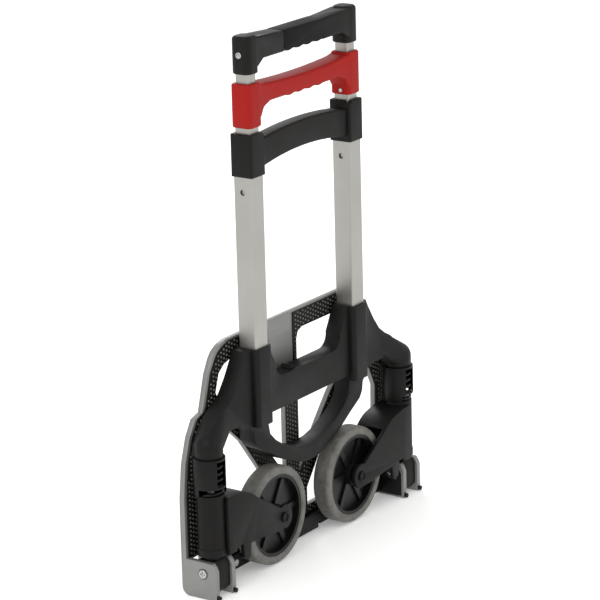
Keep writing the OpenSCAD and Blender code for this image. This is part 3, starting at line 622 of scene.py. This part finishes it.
def cross_recess(node, arm_mm, slot_mm, depth_mm):
    obj = copied(node, node + "_recessed")
    lowest, highest = box_mm(node)
    middle_y, middle_z = (lowest[1] + highest[1]) / 2, (lowest[2] + highest[2]) / 2
    round_edges(obj, HEAD_EDGE_MM, lambda x, y, z: abs(x) > highest[0] - 0.2, 3)
    for face_x in (lowest[0], highest[0]):
        for tall, wide in ((arm_mm, slot_mm), (slot_mm, arm_mm)):
            deselect_all()
            bpy.ops.mesh.primitive_cube_add(
                size=1, location=(face_x * MM, middle_y * MM, middle_z * MM))
            cutter = bpy.context.active_object
            cutter.scale = (2 * depth_mm * MM, wide * MM, tall * MM)
            bpy.ops.object.transform_apply(location=True, rotation=True, scale=True)
            activate(obj)
            modified(obj, "BOOLEAN", operation="DIFFERENCE", solver="EXACT", object=cutter)
            bpy.data.objects.remove(cutter, do_unlink=True)
    activate(obj)
    bpy.ops.object.shade_smooth_by_angle(angle=math.radians(RECESS_SMOOTH_DEG))
    stand_for(obj, node)
    print(obj.name, len(obj.data.polygons), "faces")


cross_recess("pivot_bolts", 7.0, 1.9, 1.6)
cross_recess("handle_screws", 5.2, 1.5, 1.2)

# %% [markdown]
# The caps on the axles are push-on caps with a dished middle. The outer face is inset, and
# what is left inside the ring is pushed inwards. Insetting keeps the cap one closed skin.

# %% Dish the axle caps
DISH_WALL_MM = 0.4


def dished_caps(node, ring_mm, depth_mm):
    obj = copied(node, node + "_dished")
    rear_y = box_mm(node)[1][1]
    activate(obj)
    nothing_selected("FACE")
    for polygon in obj.data.polygons:
        polygon.select = polygon.normal.y > 0.9 and polygon.center.y / MM > rear_y - 0.1
    bpy.ops.object.mode_set(mode="EDIT")
    bpy.ops.mesh.inset(thickness=ring_mm * MM)
    bpy.ops.mesh.inset(thickness=DISH_WALL_MM * MM)
    bpy.ops.transform.translate(value=(0, -depth_mm * MM, 0))
    bpy.ops.object.mode_set(mode="OBJECT")
    finish_edges(obj, 0.3)
    stand_for(obj, node)
    print(obj.name, len(obj.data.polygons), "faces")


for side in ("left", "right"):
    dished_caps("axle_caps_" + side, 1.8, 1.7)

# %% [markdown]
# ## The studio
#
# A white paper sweep stands for the floor, and glows a little, as a sweep does that is lit
# from below. The lamps are large and soft: one key from high on the side, a wide fill and a
# strip behind that draws the edges of the black parts.

# %% Lamps
def lamp(name, location, target, size, power):
    data = bpy.data.lights.new(name, "AREA")
    data.shape = "RECTANGLE"
    data.size, data.size_y = size
    data.energy = power
    obj = bpy.data.objects.new(name, data)
    obj.location = location
    obj.rotation_euler = (Vector(target) - Vector(location)).to_track_quat("-Z", "Y").to_euler()
    bpy.context.scene.collection.objects.link(obj)
    return obj


middle = Vector((0, 0, 0.35))
for name, location, size, power in (("key", (2.6, 0.2, 2.6), (1.6, 1.6), 30),
                                    ("fill", (-0.6, 3.0, 1.6), (2.0, 1.4), 12),
                                    ("edge", (-1.8, -2.0, 1.8), (0.6, 2.0), 20)):
    print(lamp(name, location, middle, size, power).name, power, "W")

# %% Floor and sky
FIBRE_MM = 4
SWEEP_M = 60
SWEEP_DROP_MM = 0.5  # keeps the paper just clear of the truck's feet


def sweep_material():
    material, tree = new_material("white_paper_sweep")
    place = add(tree, "ShaderNodeTexCoord").outputs["Object"]
    fibre = add(tree, "ShaderNodeTexNoise", Vector=place, Scale=1000 / FIBRE_MM, Detail=3.0)
    bump = add(tree, "ShaderNodeBump", Height=fibre.outputs["Fac"], Distance=0.02 * MM,
               Strength=0.3)
    shader = add(tree, "ShaderNodeBsdfPrincipled", Base_Color=linear("#fbfbfa"),
                 Emission_Color=linear("#ffffff"), Emission_Strength=0.22, Roughness=0.9,
                 Normal=bump.outputs["Normal"])
    add(tree, "ShaderNodeOutputMaterial", Surface=shader.outputs["BSDF"])
    return material


deselect_all()
bpy.ops.mesh.primitive_plane_add(size=SWEEP_M, location=(0, 0, -SWEEP_DROP_MM * MM))
floor = bpy.context.active_object
floor.name = "paper_sweep"
floor.data.materials.append(sweep_material())

world = bpy.data.worlds.new("studio")
world.use_nodes = True
bpy.context.scene.world = world
sky = world.node_tree.nodes["Background"]
sky.inputs["Color"].default_value = linear("#ffffff")
sky.inputs["Strength"].default_value = 0.86
print(floor.name, SWEEP_M, "m wide")

# %% [markdown]
# The camera stands about four metres away with a long lens, as for a catalogue: near enough
# for the wheels and crosspieces to overlap, and far enough for the columns to look parallel.

# %% Camera
VIEW_AZIMUTH, VIEW_ELEVATION, VIEW_ROLL = 124.94, 16.47, -1.49
VIEW_DISTANCE = 3.925
LENS_MM, SENSOR_MM, FARTHEST_M = 178.7, 36, 100
view_target = Vector((0.0052, 0, 0.339))
azimuth, elevation = math.radians(VIEW_AZIMUTH), math.radians(VIEW_ELEVATION)
towards_camera = Vector((math.sin(azimuth) * math.cos(elevation),
                         -math.cos(azimuth) * math.cos(elevation), math.sin(elevation)))
camera = bpy.data.objects.new("camera", bpy.data.cameras.new("camera"))
camera.data.lens = LENS_MM
camera.data.sensor_width = SENSOR_MM
camera.data.clip_end = FARTHEST_M
camera.location = view_target + VIEW_DISTANCE * towards_camera
camera.rotation_mode = "QUATERNION"
camera.rotation_quaternion = ((-towards_camera).to_track_quat("-Z", "Y")
                              @ Quaternion((0, 0, 1), math.radians(VIEW_ROLL)))
bpy.context.scene.collection.objects.link(camera)
bpy.context.scene.camera = camera
bpy.context.scene.view_settings.view_transform = "Standard"
print("camera at", [round(v, 3) for v in camera.location])
